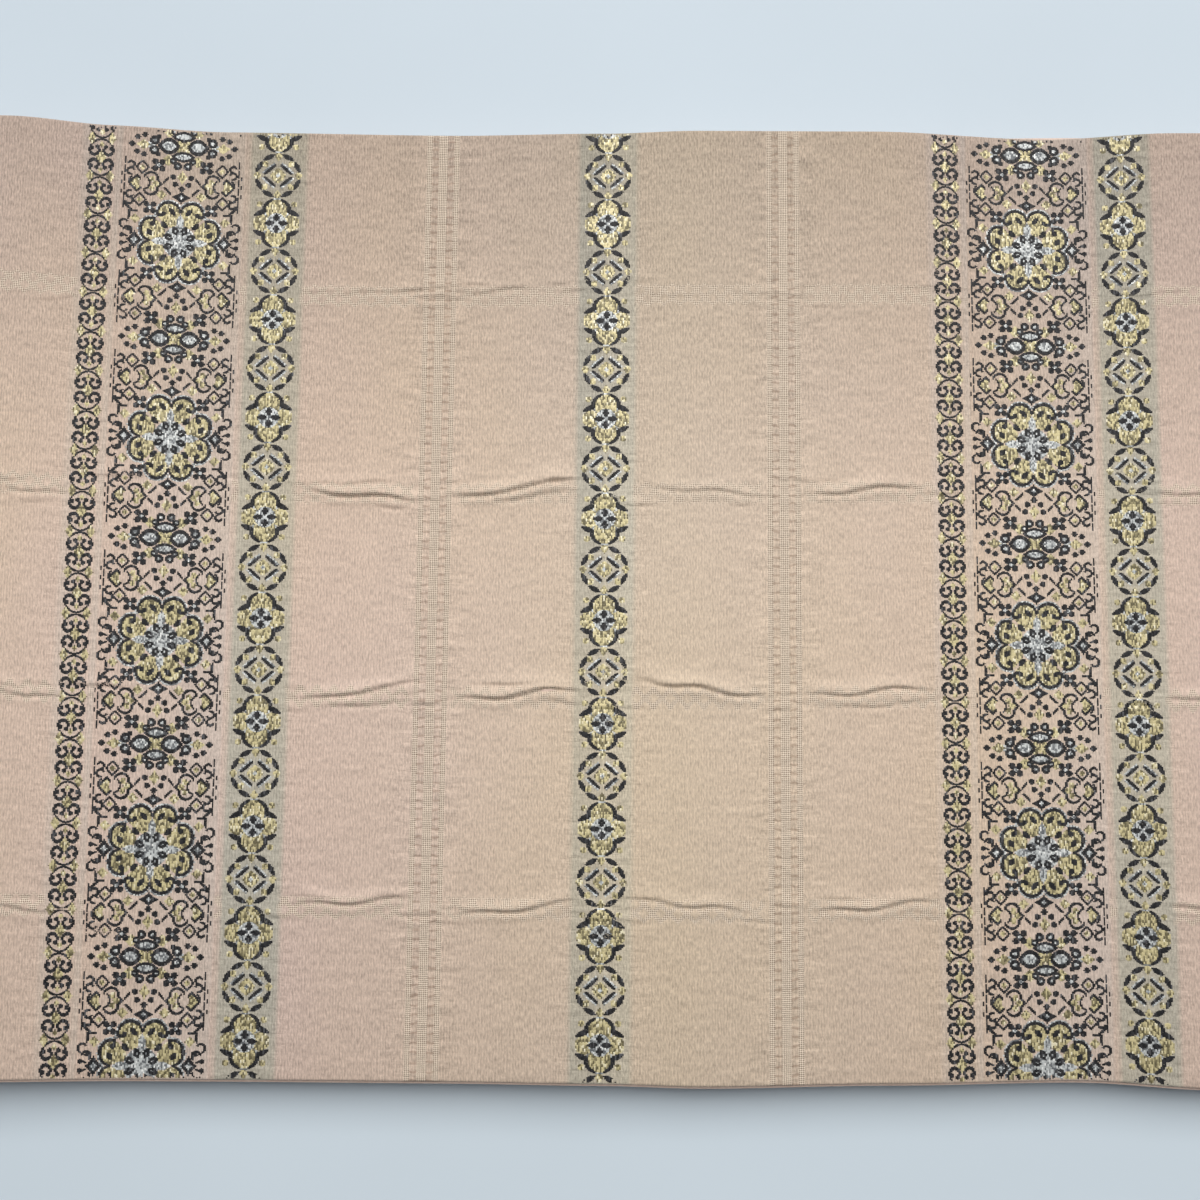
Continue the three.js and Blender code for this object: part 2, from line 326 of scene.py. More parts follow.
def make_wall(name, run, face_rows, back_rows, outer, inner, shift, materials):
    """A closed sheet with rounded long edges. Only its outer face has fine rows and creases."""
    middle = (outer + inner) / 2
    radius = (outer - inner) / 2
    rows = [(w, outer, True) for w in face_rows]
    for side, turn in ((1, (60, 20, -20, -60)), (-1, (-60, -20, 20, 60))):
        for angle in turn:
            reach = side * (WIDTH / 2 - radius + radius * math.cos(math.radians(angle)))
            rows.append((reach, middle + radius * math.sin(math.radians(angle)), False))
        if side == 1:
            rows += [(w, inner, False) for w in back_rows[::-1]]
    w, lift, fine = (np.array(column)[None, :] for column in zip(*rows))
    creased_points = on_cloth(run[:, None], w, lift, shift, creases=True)
    plain_points = on_cloth(run[:, None], w, lift, shift, creases=False)
    points = np.where(fine[..., None], creased_points, plain_points)
    faces = loft(len(run), len(rows))
    last = (len(run) - 1) * len(rows)
    faces += [list(range(len(rows))), list(range(last, last + len(rows)))[::-1]]
    piece = make_piece(name, points, faces, materials)
    places = np.stack(np.broadcast_arrays(run[:, None] - MIDDLE, w), axis=-1).reshape(-1, 2)
    set_weave(piece, places)
    return piece


def make_pile(name, materials):
    """The hidden thicknesses as one rounded solid, layered at its edges, nested round the left bend."""
    deep = [0.0]
    setback = [0.9]
    cloth_of_row = []
    bead = [(0.12, 0.45), (0.35, 0.05), (0.65, 0.05), (0.88, 0.45), (1.0, 0.0)]
    for cloth in range(THICKNESSES - 2):  # three thicknesses of two cloths from the outside to the middle
        for part, back in bead:
            deep.append((cloth + part) / (THICKNESSES - 2))
            groove = 0.95 if cloth % 2 else 0.6
            setback.append(groove if part == 1.0 else back)
            cloth_of_row.append(1 if cloth % 4 in (0, 3) else 0)
    count = len(deep)
    order = list(range(count)) + list(range(count - 2, -1, -1))  # from below, through the middle, to the top
    deep = np.array(deep)[order]
    setback = np.array(setback)[order]
    under = np.array([1.0] * (count - 1) + [0.0] + [-1.0] * (count - 1)) * -1
    cloth_of_row = cloth_of_row + cloth_of_row[::-1]

    stations = [(x, 90.0) for x in np.linspace(upper_bend[0], left_bend[0], 74)]
    stations += [(left_bend[0], angle) for angle in np.linspace(90, 180, 9)[1:]]
    thickness = np.clip((deep * 3).astype(int), 0, 2)  # which thickness a row is in, from the outside
    ends = {-1: (lower_bend[0], right_end - END_SETBACK[6], right_end - END_SETBACK[5]),
            1: (upper_bend[0] - 1, upper_bend[0] - 1, upper_bend[0] - 1)}
    rings = []
    places = []
    for i, (x, angle) in enumerate(stations):
        half = (HEIGHT + puff(x)) / 2 - PITCH - 0.15
        middle = (HEIGHT + puff(x)) / 2
        reach = half * (1 - deep)
        row_x = x + reach * math.cos(math.radians(angle))
        row_z = middle + under * reach * math.sin(math.radians(angle))
        if i == 0:
            row_x = np.array([ends[-1 if u <= 0 else 1][t] for u, t in zip(under, thickness)]) - setback
        side = 2.1 * under * math.sin(math.radians(angle))
        stray = 0.55 * np.sin(row_x / 37 + side * (1 + thickness)) + 0.3 * np.sin(row_x / 13 + thickness)
        inset = 1.3 + setback + stray
        near = np.stack([row_x, -WIDTH / 2 + inset, row_z], axis=-1)
        far = np.stack([row_x, WIDTH / 2 - inset, row_z], axis=-1)[::-1]
        rings.append(np.concatenate([near, far]))
    rows = len(deep)
    faces = loft(len(rings), 2 * rows)
    material_of = (cloth_of_row + [0] + cloth_of_row[::-1] + [0]) * (len(rings) - 1)
    for j in range(rows - 1):
        faces.append([j + 1, j, 2 * rows - 1 - j, 2 * rows - 2 - j])
        material_of.append(cloth_of_row[j])
    points = np.concatenate(rings)
    piece = make_piece(name, points, faces, materials)
    piece.data.polygons.foreach_set("material_index", material_of)
    set_weave(piece, points[:, :2] - [MIDDLE, 0])
    shell = bmesh.new()
    shell.from_mesh(piece.data)
    bmesh.ops.remove_doubles(shell, verts=shell.verts, dist=1e-7)
    bmesh.ops.recalc_face_normals(shell, faces=shell.faces)
    shell.to_mesh(piece.data)
    shell.free()
    return piece


# ---- Charts of the woven figures, in millimetres about each figure's own centre ----

# Copies: x, y and xy are mirrored over those axes, and 8 is mirrored over the diagonals too. A patch is a
# diamond at power 1, an ellipse at 2 and a hollow-sided star below 1.
Patch = namedtuple("Patch", "thread copies x y across up power turn", defaults=(2.0, 0.0))
Leaf = namedtuple("Leaf", "thread copies x y length width turn", defaults=(0.0,))
Stroke = namedtuple("Stroke", "thread copies x y heading length bend_from bend_to width")


def arc(thread, copies, x, y, radius, start, end, width):
    """A stroke round a centre, from one angle to another in degrees."""
    side = 1 if end > start else -1
    turn = math.degrees(1 / radius) * side
    length = math.radians(abs(end - start)) * radius
    begin = math.radians(start)
    return Stroke(thread, copies, x + radius * math.cos(begin), y + radius * math.sin(begin),
                  start + 90 * side, length, turn, turn, width)


def dot(thread, copies, x, y, radius, core=None, core_radius=0.0):
    marks = [Patch(thread, copies, x, y, radius, radius)]
    if core:
        marks.append(Patch(core, copies, x, y, core_radius, core_radius))
    return marks


def covers(shape, x, y):
    """Where on the cloth a shape lies."""
    if "x" in shape.copies or shape.copies == "8":
        x = np.abs(x)
    if "y" in shape.copies or shape.copies == "8":
        y = np.abs(y)
    if shape.copies == "8":
        x, y = np.minimum(x, y), np.maximum(x, y)
    if isinstance(shape, Stroke):
        steps = 14
        heading = math.radians(shape.heading)
        px, py = shape.x, shape.y
        found = np.zeros(x.shape, bool)
        for i in range(steps):
            t = (i + 0.5) / steps
            step = shape.length / steps
            heading += math.radians(shape.bend_from + (shape.bend_to - shape.bend_from) * t) * step
            along = (x - px) * math.cos(heading) + (y - py) * math.sin(heading)
            aside = (y - py) * math.cos(heading) - (x - px) * math.sin(heading)
            beyond = np.maximum(np.maximum(-along, along - step), 0)
            half = shape.width / 2 * (0.7 + 0.3 * math.sin(math.pi * t))
            found |= beyond * beyond + aside * aside < half * half
            px += step * math.cos(heading)
            py += step * math.sin(heading)
        return found
    turn = math.radians(shape.turn)
    u = (x - shape.x) * math.cos(turn) + (y - shape.y) * math.sin(turn)
    v = (y - shape.y) * math.cos(turn) - (x - shape.x) * math.sin(turn)
    if isinstance(shape, Leaf):
        return np.abs(v) < shape.width / 2 * (1 - (2 * u / shape.length) ** 2)
    return np.abs(u / shape.across) ** shape.power + np.abs(v / shape.up) ** shape.power < 1


RING = [
    Leaf(CHARCOAL, "xy", 6.3, 3.15, 4.6, 1.7, 117),
    Leaf(CHARCOAL, "xy", 3.15, 6.4, 4.6, 1.7, 153),
    Stroke(SILVER, "xy", 5.2, 0.9, 139.5, 5.2, 0, 0, 0.6),
    Stroke(CHARCOAL, "xy", 4.3, 0.7, 138.5, 4.5, 0, 0, 1.15),
    Patch(GILT, "xy", 0, 0, 2.7, 2.7, 1.2),
    Patch(SILVER, "xy", 0, 0, 0.8, 0.8, 1.0),
    Patch(GILT, "xy", 4.3, 4.0, 1.0, 1.0),
    Patch(GILT, "xy", 6.9, 0, 1.0, 1.2),
    Patch(GILT, "xy", 0, 6.9, 1.1, 1.7, 1.3),
]

QUATREFOIL = [
    Patch(SILVER, "xy", 0, 4.2, 3.9, 4.5, 2.0),
    Patch(GILT, "xy", 0, 4.2, 3.5, 4.1, 2.0),
    Patch(GILT, "xy", 4.7, 0, 3.1, 2.8, 2.0),
    Stroke(CHARCOAL, "xy", 1.7, 8.0, -22, 5.4, -10, -20, 1.3),
    Leaf(CHARCOAL, "xy", 5.5, 3.55, 5.0, 1.8, -24),
    Patch(SILVER, "xy", 0, 0, 3.4, 3.4),
    Leaf(CHARCOAL, "xy", 0, 1.9, 3.2, 2.0, 90),
    Leaf(CHARCOAL, "xy", 2.2, 0, 3.6, 1.9, 0),
    Patch(SILVER, "xy", 0, 0, 0.5, 0.5),
    *dot(GILT, "xy", 5.8, 6.6, 0.95),
]


def outlined(copies, x, y, across, up, power):
    """A dark outline with a little gilt inside."""
    return [
        Patch(CHARCOAL, copies, x, y, across, up, power),
        Patch(GROUND, copies, x, y, across - 0.75, up - 0.8, power),
        Patch(GILT, copies, x, y, across * 0.42, up * 0.42, power),
    ]


def floret(copies, x, y, reach=1.15, petal=0.95):
    """Four dark petals on the diagonals round a silver centre."""
    marks = []
    for dx in (-reach, reach):
        for dy in (-reach, reach):
            marks.append(Patch(CHARCOAL, copies, x + dx, y + dy, petal, petal))
    marks.append(Patch(CHARCOAL, copies, x, y, reach, reach, 1.0))
    marks.append(Patch(SILVER, copies, x, y, 0.55, 0.55))
    return marks


MEDALLION = [
    Patch(GILT, "8", 4.1, 10.0, 3.7, 3.7),
    Patch(GILT, "8", 3.2, 7.6, 2.4, 2.6),
    arc(SILVER, "8", 4.0, 10.1, 4.72, 168, -25, 0.55),
    arc(CHARCOAL, "8", 4.0, 10.1, 3.95, 176, -4, 1.1),
    arc(CHARCOAL, "8", 6.75, 10.0, 1.15, 0, -150, 1.0),
    *dot(CHARCOAL, "8", 5.9, 9.5, 0.9),
    Leaf(CHARCOAL, "8", 2.9, 10.4, 3.1, 1.9, 50),
    Patch(SILVER, "xy", 0, 0, 5.6, 5.6),
    Leaf(SILVER, "8", 0, 6.9, 5.2, 2.6, 90),
    Leaf(CHARCOAL, "8", 1.65, 3.9, 3.7, 2.4, 67.5),
    Leaf(SILVER, "8", 1.6, 3.8, 1.2, 0.4, 67.5),
    Leaf(CHARCOAL, "xy", 5.5, 5.7, 3.4, 2.0, 45),
]

AROUND_MEDALLION = [
    Patch(CHARCOAL, "xy", 0, 15.6, 3.4, 2.2, 0.8),
    Patch(SILVER, "xy", 0, 15.6, 1.2, 0.6, 0.8),
    Patch(CHARCOAL, "xy", 14.7, 0, 2.7, 3.2, 0.85),
    Patch(SILVER, "xy", 14.7, 0, 1.0, 1.2, 0.9),
    arc(CHARCOAL, "xy", 16.9, 3.1, 1.35, 235, 30, 0.95),
    *dot(CHARCOAL, "xy", 16.9, 3.4, 0.6),
    arc(CHARCOAL, "xy", 18.5, 5.4, 1.35, -80, 130, 0.9),
    *dot(CHARCOAL, "xy", 18.9, 1.4, 0.75),
    Stroke(CHARCOAL, "xy", 17.0, 1.0, 20, 2.2, 0, 20, 0.8),
    *floret("xy", 10.2, 11.4),
    Patch(GILT, "xy", 6.5, 16.1, 1.7, 1.7, 1.0),
    Patch(GILT, "xy", 14.8, 7.4, 1.7, 1.7, 1.0),
    Stroke(CHARCOAL, "xy", 18.9, 13.4, -112, 3.9, -10, -8, 0.95),
    Stroke(CHARCOAL, "xy", 16.9, 10.0, 186, 2.6, -8, 8, 0.85),
    Stroke(CHARCOAL, "xy", 16.9, 10.0, -98, 2.9, 5, 10, 0.8),
]

SIDE_PANEL = [
    *[Patch(CHARCOAL, "xy", 18.9, y, 0.42, 1.3, 8.0) for y in (12, 15.1, 18.2, 21.3, 24.4, 27.5)],
    *[Patch(CHARCOAL, "xy", 19.9, y, 0.25, 0.7, 8.0) for y in (16.6, 19.7, 22.8)],
    Patch(CHARCOAL, "xy", 14.8, 19.6, 2.9, 3.2, 1.1),
    Patch(GILT, "xy", 14.8, 19.6, 1.9, 2.1, 1.1),
    Stroke(CHARCOAL, "xy", 17.6, 19.6, 100, 2.4, 8, 14, 0.75),
    arc(CHARCOAL, "xy", 17.0, 23.9, 1.15, 160, -90, 0.85),
    arc(CHARCOAL, "xy", 16.8, 26.1, 1.05, -90, -330, 0.85),
    arc(CHARCOAL, "xy", 17.0, 15.6, 1.15, -160, 90, 0.85),
    arc(CHARCOAL, "xy", 16.8, 13.4, 1.05, 90, 330, 0.85),
    *outlined("xy", 13.2, 25.3, 2.3, 2.5, 1.15),
    *outlined("xy", 13.7, 14.0, 2.3, 2.5, 1.15),
    Patch(CHARCOAL, "xy", 10.2, 21.9, 2.5, 2.2),
    Patch(CHARCOAL, "xy", 10.2, 17.7, 2.5, 2.2),
    Patch(CHARCOAL, "xy", 8.9, 19.8, 2.7, 2.5, 1.1),
    Patch(GROUND, "xy", 10.3, 21.8, 1.75, 1.45),
    Patch(GROUND, "xy", 10.3, 17.8, 1.75, 1.45),
    Patch(GROUND, "xy", 9.2, 19.8, 1.9, 1.8, 1.1),
    Patch(GROUND, "xy", 12.1, 19.8, 2.0, 1.9),
    arc(CHARCOAL, "xy", 12.6, 19.8, 2.2, 115, 245, 0.75),
    Patch(GILT, "xy", 9.7, 21.4, 0.9, 1.0),
    Patch(GILT, "xy", 9.7, 18.2, 0.9, 1.0),
    Patch(GILT, "xy", 8.7, 19.8, 1.0, 1.0),
    Stroke(CHARCOAL, "xy", 6.1, 20.4, 140, 2.4, -10, 2, 0.85),
    Stroke(CHARCOAL, "xy", 5.7, 18.6, 215, 3.0, 8, 6, 0.85),
    Patch(GILT, "xy", 0, 22.6, 1.8, 2.3, 0.9),
    *dot(CHARCOAL, "xy", 2.9, 22.6, 0.95),
    *dot(CHARCOAL, "xy", 2.2, 20.1, 0.95),
    *dot(CHARCOAL, "xy", 0, 18.6, 0.95),
]

CROSS_FLORET = [
    Patch(GILT, "xy", 4.9, 5.0, 1.9, 1.9, 1.2),
    Patch(SILVER, "xy", 11.0, 0, 1.6, 1.0),
    Leaf(CHARCOAL, "xy", 4.8, 0, 7.8, 5.8),
    Leaf(SILVER, "xy", 4.8, 0, 4.8, 3.1),
    Leaf(CHARCOAL, "xy", 0, 3.5, 8.2, 3.8),
    Leaf(SILVER, "xy", 0, 3.5, 5.4, 1.9),
    Patch(GILT, "xy", 0, 0, 1.7, 1.7, 0.9),
    Leaf(GILT, "xy", 1.1, 1.1, 2.6, 1.2, 45),
    *dot(CHARCOAL, "xy", 1.7, 6.8, 1.45, SILVER, 0.45),
    *dot(CHARCOAL, "xy", 3.4, 5.1, 1.15, SILVER, 0.3),
    *dot(CHARCOAL, "xy", 9.6, 1.7, 1.65, SILVER, 0.6),
    *dot(CHARCOAL, "xy", 8.3, 3.1, 0.8),
    *floret("xy", 7.9, 6.9, 1.2, 1.05),
    Patch(GILT, "xy", 13.2, 0, 2.4, 1.9, 0.9),
    Patch(GILT, "xy", 0, 10.8, 1.8, 2.2, 0.9),
    *dot(CHARCOAL, "xy", 17.0, 0, 1.0),
    *dot(CHARCOAL, "xy", 15.2, 2.6, 0.95),
    *dot(CHARCOAL, "xy", 12.9, 3.4, 0.95),
]

SCROLL_CROSS = [
    arc(CHARCOAL, "xy", 0, 5.1, 4.8, -91, -32, 0.75),
    Patch(GILT, "xy", 3.7, 0, 1.5, 2.2, 1.0),
    Patch(GILT, "xy", 0, 2.2, 1.0, 1.0, 1.0),
]

SCROLL_CURLS = [
    Patch(GILT, "xy", 0, 0, 2.0, 2.3, 0.9),
    arc(CHARCOAL, "xy", 2.5, 2.35, 1.7, 165, 385, 1.15),
    *dot(CHARCOAL, "xy", 1.45, 3.6, 0.75),
    *dot(CHARCOAL, "xy", 3.5, 3.1, 0.75),
]

# Each stripe's figures: their shapes, spacing up the stripe and first place.
FIGURES = {
    "ring": [
        (RING, RING_PITCH, RING_FROM, 1.0),
        (QUATREFOIL, RING_PITCH, RING_FROM + RING_PITCH / 2, 1.0),
    ],
    "medallion": [
        (MEDALLION, MEDALLION_PITCH, MEDALLION_FROM, 0.95),
        (AROUND_MEDALLION, MEDALLION_PITCH, MEDALLION_FROM, 1.0),
        (SIDE_PANEL, MEDALLION_PITCH, MEDALLION_FROM, 1.0),
        (CROSS_FLORET, MEDALLION_PITCH, MEDALLION_FROM + MEDALLION_PITCH / 2, 1.0),
    ],
    "scroll": [
        (SCROLL_CROSS, SCROLL_PITCH, SCROLL_FROM, 0.9),
        (SCROLL_CURLS, SCROLL_PITCH, SCROLL_FROM + SCROLL_PITCH / 2, 0.9),
    ],
}


def chart(kind, width):
    """The thread that lies on top at each cell of a stripe: columns along the sash, rows across it."""
    columns = 2 * int(width / 2 / PICK) + 1
    x = (np.arange(columns) - columns // 2)[:, None] * PICK
    y = (np.arange(ROWS)[None, :] + 0.5) * CELL
    cells = np.zeros((columns, ROWS), np.int8)
    for shapes, pitch, start, squeeze in FIGURES[kind]:
        figure_y = (y - start + pitch / 2) % pitch - pitch / 2
        for shape in shapes:
            cells[covers(shape, *np.broadcast_arrays(x / squeeze, figure_y))] = shape.thread
    return np.arange(columns) - columns // 2, cells


def floats(kind, width):
    """Every float of a stripe: its thread, column, and where it starts and ends across the sash."""
    column, cells = chart(kind, width)
    first = math.floor(-WIDTH / 2 / CELL)
    row = np.arange(first, first + math.ceil(WIDTH / CELL))
    cells = cells[:, row % ROWS]
    spacing = np.array([1, BIND[GILT], BIND[SILVER], BIND[CHARCOAL]])
    bound = (row[None, :] + 2 * column[:, None] + (column[:, None] % 2)) % spacing[cells] == 0
    change = np.ones(cells.shape, bool)
    change[:, 1:] = (cells[:, 1:] != cells[:, :-1]) | bound[:, 1:]
    start = np.flatnonzero(change)
    stop = np.append(start[1:], cells.size)
    thread = cells.ravel()[start]
    kept = thread != GROUND
    start, stop, thread = start[kept], stop[kept], thread[kept]
    line, begin = np.divmod(start, len(row))
    begin = row[0] + begin
    return thread, column[line] * PICK, begin * CELL, (begin + stop - start) * CELL


def make_threads(name, run, begin, end, material, rng):
    """Raised threads: each float swells to a low peak at its middle, and dips where it is bound."""
    half = THREAD_HALF * rng.uniform(0.9, 1.08, len(run))
    crest = FACE_DEPTH * rng.uniform(0.6, 0.98, len(run))
    begin, end = begin - THREAD_LAP, end + THREAD_LAP
    lean = rng.uniform(-0.03, 0.03, len(run))
    corners = [
        (run - half, begin, -THREAD_SUNK), (run + half, begin, -THREAD_SUNK),
        (run + half, end, -THREAD_SUNK), (run - half, end, -THREAD_SUNK),
        (run + lean, (begin + end) / 2, crest),
    ]
    at = np.stack([np.broadcast_to(c[0], run.shape) for c in corners], axis=1)
    w = np.stack([c[1] for c in corners], axis=1)
    lift = np.stack([np.broadcast_to(c[2], run.shape) for c in corners], axis=1)
    points = on_cloth(at, w, lift)
    slopes = np.array([(0, 1, 4), (1, 2, 4), (2, 3, 4), (3, 0, 4)])
    faces = (np.arange(len(run))[:, None, None] * len(corners) + slopes[None]).reshape(-1, 3)
    piece = make_piece(name, points, faces.tolist(), [material])
    tint = np.repeat(rng.uniform(0, 1, (len(run), 2)) / MM, len(corners), axis=0)
    set_weave(piece, tint, "thread")
    return piece


# ---- Materials ----


def colour(code):
    """A linear colour from an sRGB hex value."""
    parts = [int(code[i:i + 2], 16) / 255 for i in (1, 3, 5)]
    return [p / 12.92 if p <= 0.04045 else ((p + 0.055) / 1.055) ** 2.4 for p in parts] + [1.0]


def node(tree, kind, inputs=None, **settings):
    """Adds a node, with its settings, and its inputs set to values or linked to other nodes."""
    made = tree.nodes.new(kind)
    for name, value in settings.items():
        setattr(made, name, value)
    for socket, value in (inputs or {}).items():
        if isinstance(value, bpy.types.Node):
            value = next(output for output in value.outputs if output.enabled)
        if isinstance(value, bpy.types.NodeSocket):
            tree.links.new(value, made.inputs[socket])
        else:
            made.inputs[socket].default_value = value
    return made


def new_material(name):
    material = bpy.data.materials.new(name)
    material.use_nodes = True
    material.node_tree.nodes.clear()
    return material, material.node_tree


def set_ramp(ramp, stops):
    """Stops of a colour ramp: position and grey value, or position and sRGB hex."""
    elements = ramp.color_ramp.elements
    while len(elements) > 1:
        elements.remove(elements[-1])
    for i, (position, value) in enumerate(stops):
        stop = elements[0] if i == 0 else elements.new(position)
        stop.position = position
        stop.color = colour(value) if isinstance(value, str) else (value, value, value, 1)


def stripe_stops(kinds, margin, soft):
    """Ramp stops over one repeat that are 1 inside these stripes and 0 between them."""
    stops = []
    for stripe in STRIPES:
        if stripe.kind in kinds:
            half = stripe.width / 2 + margin
            for edge, value in ((-half - soft, 0), (-half, 1), (half, 1), (half + soft, 0)):
                stops.append((((stripe.along + edge) % REPEAT) / REPEAT, value))
    stops.sort()
    return stops


# Silk ground of the front: reeled silk, woven in a fine rib with twisted weft. It gives a matt, slightly
# pebbled cloth with a soft glow, whose tone drifts along the sash, with self-coloured bands and ladders.
def woven_silk_front():
    material, tree = new_material("woven_silk_front")
    uv = node(tree, "ShaderNodeUVMap", uv_map="weave")
    place = node(tree, "ShaderNodeVectorMath", {0: uv, 3: 1000.0}, operation="SCALE")
    split = node(tree, "ShaderNodeSeparateXYZ", {0: place})
    u_plain, v = split.outputs[0], split.outputs[1]
    lean = node(tree, "ShaderNodeMath", {0: v, 1: -SKEW, 2: u_plain}, operation="MULTIPLY_ADD")
    in_repeat = node(tree, "ShaderNodeMath", {0: lean, 1: REPEAT}, operation="FLOORED_MODULO")
    share = node(tree, "ShaderNodeMath", {0: in_repeat, 1: REPEAT}, operation="DIVIDE")
    brocaded = node(tree, "ShaderNodeValToRGB", {0: share})
    set_ramp(brocaded, stripe_stops(("ring", "scroll", "medallion"), 0.4, 1.6))
    figured = node(tree, "ShaderNodeValToRGB", {0: share})
    set_ramp(figured, stripe_stops(("ring", "scroll", "medallion", "ladder"), 0.2, 0.8))

    # Two ladders: how far a place is from the nearer one's middle.
    ladders = [s.along for s in STRIPES if s.kind == "ladder"]
    off = [node(tree, "ShaderNodeMath", {0: in_repeat, 1: along}, operation="SUBTRACT") for along in ladders]
    off = [node(tree, "ShaderNodeMath", {0: o}, operation="ABSOLUTE") for o in off]
    off = node(tree, "ShaderNodeMath", {0: off[0], 1: off[1]}, operation="MINIMUM")

    # Figure threads are 0.46 mm apart, and are drawn at 0.6 mm so that they show.
    wave = {}
    slopes = (("up", 1.2, 1.0), ("down", 1.2, -1.0), ("net_up", 5.4, 1.0), ("net_down", 5.4, -1.0))
    for name, period, slant in slopes:
        sloped = node(tree, "ShaderNodeMath", {0: v, 1: slant, 2: lean}, operation="MULTIPLY_ADD")
        turned = node(tree, "ShaderNodeMath", {0: sloped, 1: 2 * math.pi / period}, operation="MULTIPLY")
        wave[name] = node(tree, "ShaderNodeMath", {0: turned}, operation="COSINE")
    dots = node(tree, "ShaderNodeMath", {0: wave["up"], 1: wave["down"]}, operation="MULTIPLY")
    dots = node(tree, "ShaderNodeMapRange", {0: dots, 1: -0.1, 2: 0.6}, clamp=True)

    by_ladder = node(tree, "ShaderNodeMapRange", {0: off, 1: 15.0, 2: 5.0}, clamp=True)

    # Side columns of a ladder, and its middle column.
    from_side = node(tree, "ShaderNodeMath", {0: off, 1: 4.5}, operation="SUBTRACT")
    from_side = node(tree, "ShaderNodeMath", {0: from_side}, operation="ABSOLUTE")
    side = node(tree, "ShaderNodeMapRange", {0: from_side, 1: 1.05, 2: 0.75}, clamp=True)
    centre = node(tree, "ShaderNodeMapRange", {0: off, 1: 1.7, 2: 1.3}, clamp=True)
    # Painted shade of small cross ripples, about 2.9 mm apart, between a ladder's columns.
    wander = node(tree, "ShaderNodeTexNoise", {"Vector": place, "Scale": 0.25, "Detail": 2.0})
    cross_ripple_shade = node(tree, "ShaderNodeMath", {0: wander.outputs[0], 1: 2.4, 2: v}, operation="MULTIPLY_ADD")
    cross_ripple_shade = node(tree, "ShaderNodeMath", {0: cross_ripple_shade, 1: 2 * math.pi / 2.9}, operation="MULTIPLY")
    cross_ripple_shade = node(tree, "ShaderNodeMath", {0: cross_ripple_shade}, operation="COSINE")
    cross_ripple_shade = node(tree, "ShaderNodeMapRange", {0: cross_ripple_shade, 1: 0.45, 2: 0.95}, clamp=True)
    beside = node(tree, "ShaderNodeMath", {0: off, 1: 2.7}, operation="SUBTRACT")
    beside = node(tree, "ShaderNodeMath", {0: beside}, operation="ABSOLUTE")
    beside = node(tree, "ShaderNodeMapRange", {0: beside, 1: 1.5, 2: 0.9}, clamp=True)
    cross_ripple_shade = node(tree, "ShaderNodeMath", {0: cross_ripple_shade, 1: beside}, operation="MULTIPLY")
    ladder = node(tree, "ShaderNodeMath", {0: side, 1: centre}, operation="MAXIMUM")

    # Bands: a diamond net between zigzag edges, woven only between the stripes.
    from_band = node(tree, "ShaderNodeMath", {0: v, 1: BAND_PITCH / 2 - NEAR_BAND}, operation="ADD")
    from_band = node(tree, "ShaderNodeMath", {0: from_band, 1: BAND_PITCH}, operation="FLOORED_MODULO")
    from_band = node(tree, "ShaderNodeMath", {0: from_band, 1: BAND_PITCH / 2}, operation="SUBTRACT")
    from_band = node(tree, "ShaderNodeMath", {0: from_band}, operation="ABSOLUTE")
    zigzag = node(tree, "ShaderNodeMath", {0: lean, 1: 1.35}, operation="PINGPONG")
    reach = node(tree, "ShaderNodeMath", {0: zigzag, 1: 0.9, 2: from_band}, operation="MULTIPLY_ADD")
    inside = node(tree, "ShaderNodeMapRange", {0: reach, 1: 4.3, 2: 3.7}, clamp=True)
    between = node(tree, "ShaderNodeMath", {0: 1.0, 1: figured}, operation="SUBTRACT")
    band = node(tree, "ShaderNodeMath", {0: inside, 1: between}, operation="MULTIPLY")
    net = node(tree, "ShaderNodeMath", {0: wave["net_up"], 1: wave["net_down"]}, operation="MAXIMUM")
    net = node(tree, "ShaderNodeMapRange", {0: net, 1: 0.2, 2: 0.7, 3: 0.1, 4: 1.0}, clamp=True)
    band = node(tree, "ShaderNodeMath", {0: band, 1: net}, operation="MULTIPLY")
    self_figure = node(tree, "ShaderNodeMath", {0: band, 1: ladder}, operation="MAXIMUM")
    figure = node(tree, "ShaderNodeMath", {0: self_figure, 1: dots}, operation="MULTIPLY")
    # The raised self-coloured figure is painted lit and shaded: a painted highlight between its dots, and
    # painted shade on the dots and on the cross ripples.
    shine = node(tree, "ShaderNodeMath", {0: self_figure, 1: figure}, operation="SUBTRACT")
    shine = node(tree, "ShaderNodeMath", {0: shine, 1: 0.8}, operation="MULTIPLY")
    shadow = node(tree, "ShaderNodeMath", {0: figure, 1: 0.75}, operation="MULTIPLY")
    shadow = node(tree, "ShaderNodeMath", {0: cross_ripple_shade, 1: 0.4, 2: shadow}, operation="MULTIPLY_ADD")

